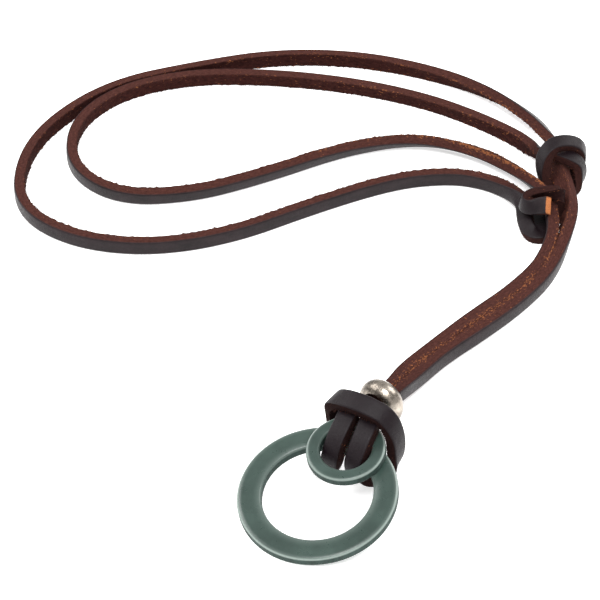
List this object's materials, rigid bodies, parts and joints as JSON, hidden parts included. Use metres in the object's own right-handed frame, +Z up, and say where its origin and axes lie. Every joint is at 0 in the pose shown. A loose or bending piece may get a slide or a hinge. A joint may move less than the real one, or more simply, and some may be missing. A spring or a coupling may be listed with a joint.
{
  "type": "leather cord necklace",
  "caption": "Adjustable flat leather lace necklace with sliding knots, a round metal bead and two stone rings hitched on as a pendant, lying flat.",
  "frame": {"origin": "on the surface the necklace lies on, under the middle of the box round the two rings and the bead", "axes": "+Z up from the surface, +Y from the rings towards the neck loop, +X to the right"},
  "size_m": [0.1628, 0.2128, 0.0215],
  "materials": {
    "stone_large": "satin polished grey-green stone",
    "stone_small": "satin polished grey-green stone, a little paler",
    "bead_metal": "worn satin pewter",
    "leather": "smooth dark brown grain side, rough red-brown flesh side and cut edges"
  },
  "bodies": {
    "root": {"ring_large": "stone_large", "ring_small": "stone_small", "bead": "bead_metal", "lace_hitch": "leather", "lace_drop_left": "leather", "lace_drop_right": "leather", "lace_outer": "leather", "lace_inner": "leather", "knot_upper": "leather", "knot_lower": "leather"}
  },
  "joints": []
}
